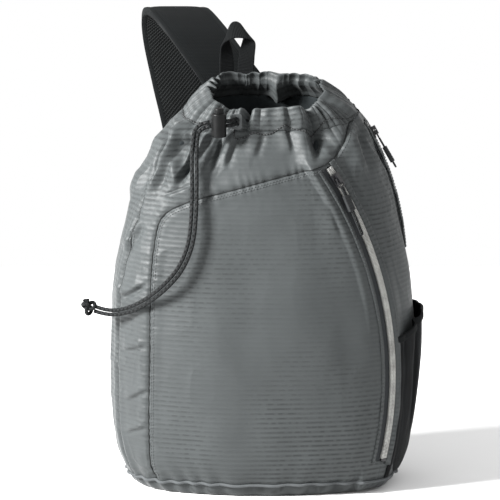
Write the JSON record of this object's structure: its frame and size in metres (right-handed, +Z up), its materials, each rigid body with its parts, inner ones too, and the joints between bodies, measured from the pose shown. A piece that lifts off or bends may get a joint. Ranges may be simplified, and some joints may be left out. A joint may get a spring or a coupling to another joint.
{
  "type": "drawstring sling pack",
  "caption": "Stuffed drawstring sling pack: cinched mouth with cord and cord lock, two zippered pockets, mesh bottle pocket, grab loop and one padded shoulder strap.",
  "frame": {"origin": "middle of the flat base, on the floor the bag stands on", "axes": "+Z up through the mouth; -Y is the bag's front, +Y its strap side; +X is the zippered side, the right side seen from the front"},
  "size_m": [0.3786, 0.299, 0.5],
  "materials": {
    "shell": "satin ripstop nylon, mid grey",
    "lining": "dark plain-weave lining",
    "webbing": "black ribbed webbing",
    "strap_face": "dark grey ribbed polyester",
    "air_mesh": "black air mesh",
    "binding": "black binding tape",
    "foam": "closed-cell foam",
    "zip_tape": "woven zipper tape, near black",
    "zip_teeth": "light grey coil",
    "zip_metal": "black lacquer",
    "cord": "black braided cord",
    "grip": "black moulded rubber",
    "plastic": "black moulded plastic",
    "steel": "spring wire",
    "mesh": "black stretch mesh",
    "piping": "dark piping"
  },
  "bodies": {
    "bag": {"front_panel": "shell", "yoke_panel": "shell", "left_side_panel": "shell", "right_side_panel": "shell", "back_panel": "shell", "base_panel": "shell", "base_piping": "piping", "main_lining": "lining", "front_pocket_bag": "lining", "side_pocket_bag": "lining", "back_foam_pad": "foam", "drawcord_channel": "shell", "drawcord_loop": "cord", "cord_buttonhole": "shell", "drawcord_tail_outer": "cord", "drawcord_tail_inner": "cord", "cord_knot": "cord", "front_zip_tape_inner": "zip_tape", "front_zip_tape_outer": "zip_tape", "front_zip_teeth_inner": "zip_teeth", "front_zip_teeth_outer": "zip_teeth", "front_zip_bottom_stop": "zip_metal", "front_zip_top_stops": "zip_teeth", "side_zip_tape_front": "zip_tape", "side_zip_tape_rear": "zip_tape", "side_zip_teeth_front": "zip_teeth", "side_zip_teeth_rear": "zip_teeth", "side_zip_bottom_stop": "zip_metal", "side_zip_top_stops": "zip_teeth", "mesh_pocket": "mesh", "mesh_pocket_binding": "binding", "strap_anchor": "webbing", "strap_lower_anchor": "webbing"},
    "front_slider": {"front_zip_slider": "zip_metal"},
    "front_pull": {"front_zip_pull_tab": "zip_metal", "front_zip_pull_cord": "cord", "front_zip_pull_grip": "grip"},
    "side_slider": {"side_zip_slider": "zip_metal"},
    "side_pull": {"side_zip_pull_tab": "zip_metal", "side_zip_pull_cord": "cord", "side_zip_pull_grip": "grip"},
    "cord_lock": {"cord_lock_barrel": "plastic", "cord_lock_spring": "steel"},
    "plunger": {"cord_lock_plunger": "plastic"},
    "grab_loop": {"grab_loop": "webbing"},
    "sling_strap": {"strap_cover": "strap_face", "strap_foam": "foam", "strap_mesh_lining": "air_mesh", "strap_binding_left": "binding", "strap_binding_right": "binding", "strap_end_webbing": "webbing", "ladder_lock": "plastic", "adjuster_webbing": "webbing"}
  },
  "joints": [
    {"name": "front_slider_run", "type": "hinge", "parent": "bag", "child": "front_slider", "pos_m": [-0.2804, -0.072, 0.1303], "axis": [0, -1, 0], "range_deg": [-36, 0]},
    {"name": "front_pull_swing", "type": "hinge", "parent": "front_slider", "child": "front_pull", "pos_m": [0.08316, -0.07704, 0.35222], "axis": [-0.7617, -0.6037, -0.2352], "range_deg": [0, 120]},
    {"name": "side_slider_run", "type": "hinge", "parent": "bag", "child": "side_slider", "pos_m": [-0.1626, 0.005, 0.2352], "axis": [0, -1, 0], "range_deg": [-20, 0]},
    {"name": "side_pull_swing", "type": "hinge", "parent": "side_slider", "child": "side_pull", "pos_m": [0.12364, 0.005, 0.38997], "axis": [0, -1, 0], "range_deg": [0, 110]},
    {"name": "cord_lock_slide", "type": "slide", "parent": "bag", "child": "cord_lock", "axis": [1, 0, 0], "range_m": [-0.003, 0]},
    {"name": "cord_lock_press", "type": "slide", "parent": "cord_lock", "child": "plunger", "axis": [0, 0, 1], "range_m": [-0.0035, 0], "stiffness_N_per_m": 600, "springref_m": 0.003, "deforming": ["cord_lock_spring"]},
    {"name": "grab_loop_swing", "type": "hinge", "parent": "bag", "child": "grab_loop", "pos_m": [-0.029, 0.08, 0.408], "axis": [1, 0, 0], "range_deg": [-5, 22]},
    {"name": "strap_swing", "type": "hinge", "parent": "bag", "child": "sling_strap", "pos_m": [-0.029, 0.098, 0.418], "axis": [0.0869, -0.0369, 0.9955], "range_deg": [-15, 15]}
  ]
}
